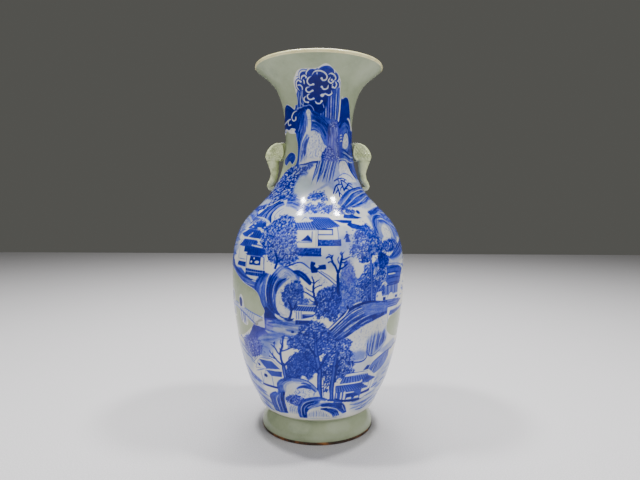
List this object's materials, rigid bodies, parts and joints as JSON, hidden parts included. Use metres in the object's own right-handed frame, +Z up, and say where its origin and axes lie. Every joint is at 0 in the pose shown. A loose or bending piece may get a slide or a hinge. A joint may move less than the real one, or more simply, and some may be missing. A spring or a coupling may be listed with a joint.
{
  "type": "porcelain vase",
  "caption": "Tall baluster vase with flared mouth, elephant-head handles and a raised blue-and-white landscape on a celadon ground.",
  "frame": {"origin": "centre of the foot's resting face", "axes": "+Z up along the vase's axis, front of the vase towards -Y, handles on the X axis"},
  "size_m": [0.2781, 0.2776, 0.58],
  "materials": {
    "celadon_glaze": "glossy",
    "handle_glaze": "glossy",
    "lip_glaze": "glossy",
    "base_glaze": "glossy",
    "white_slip": "glossy",
    "bare_rim": "matt"
  },
  "bodies": {
    "root": {"foot_rim": "bare_rim", "foot_ring": "celadon_glaze", "base_disc": "base_glaze", "foot_luting_seam": "celadon_glaze", "lower_body": "celadon_glaze", "belly_luting_seam": "celadon_glaze", "upper_body": "celadon_glaze", "neck_luting_seam": "celadon_glaze", "neck": "celadon_glaze", "mouth_luting_seam": "celadon_glaze", "mouth": "celadon_glaze", "lip": "lip_glaze", "left_head": "handle_glaze", "left_trunk": "handle_glaze", "left_front_ear": "handle_glaze", "left_back_ear": "handle_glaze", "right_head": "handle_glaze", "right_trunk": "handle_glaze", "right_front_ear": "handle_glaze", "right_back_ear": "handle_glaze", "body_relief": "white_slip", "bridge_relief": "white_slip", "cloud_peak_relief": "white_slip", "left_peak_relief": "white_slip", "right_peak_relief": "white_slip", "left_rock_relief": "white_slip", "back_peak_relief": "white_slip"}
  },
  "joints": []
}
